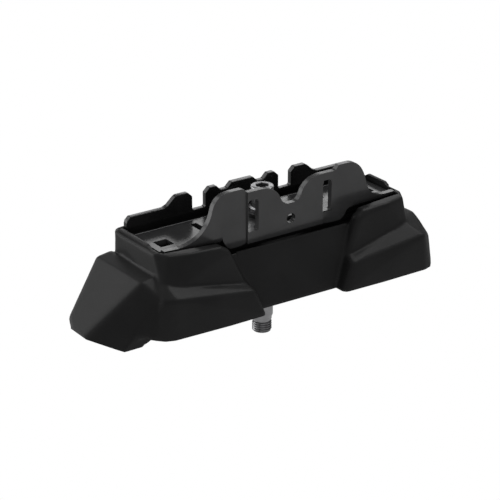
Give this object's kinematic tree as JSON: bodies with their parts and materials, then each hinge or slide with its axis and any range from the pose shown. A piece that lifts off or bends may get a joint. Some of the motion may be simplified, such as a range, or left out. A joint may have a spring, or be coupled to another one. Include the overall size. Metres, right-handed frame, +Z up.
{
  "type": "roof bar foot",
  "caption": "Roof bar foot: moulded pad with a sloping nose, a folded bracket with two tall ears, a toothed plate behind it, and a captive bolt down through the pad.",
  "frame": {"origin": "On the bolt's axis, at the top of the threaded end that goes into the roof.", "axes": "X along the foot with the sloping nose at -X, Y across it with the tall front wall at -Y and the toothed wall at +Y, Z up."},
  "size_m": [0.1931, 0.0822, 0.0871],
  "materials": {
    "pad": "matte black moulded rubber with a fine grain",
    "bracket": "satin black powder coat on folded steel",
    "plate": "satin black powder coat on folded steel",
    "steel": "bright turned steel",
    "bolt": "bright plated steel",
    "ring": "black rubber"
  },
  "bodies": {
    "foot": {"foot_pad": "pad", "clamp_bracket": "bracket", "toothed_plate": "plate", "sleeve": "steel"},
    "washer": {"washer": "steel"},
    "bolt": {"bolt": "bolt", "retaining_ring": "ring"}
  },
  "joints": [
    {"name": "bolt_lift", "type": "slide", "parent": "foot", "child": "washer", "axis": [0, 0, 1], "range_m": [0, 0.008]},
    {"name": "bolt_turn", "type": "hinge", "parent": "washer", "child": "bolt", "pos_m": [0, 0, 0], "axis": [0, 0, 1], "continuous": true}
  ]
}
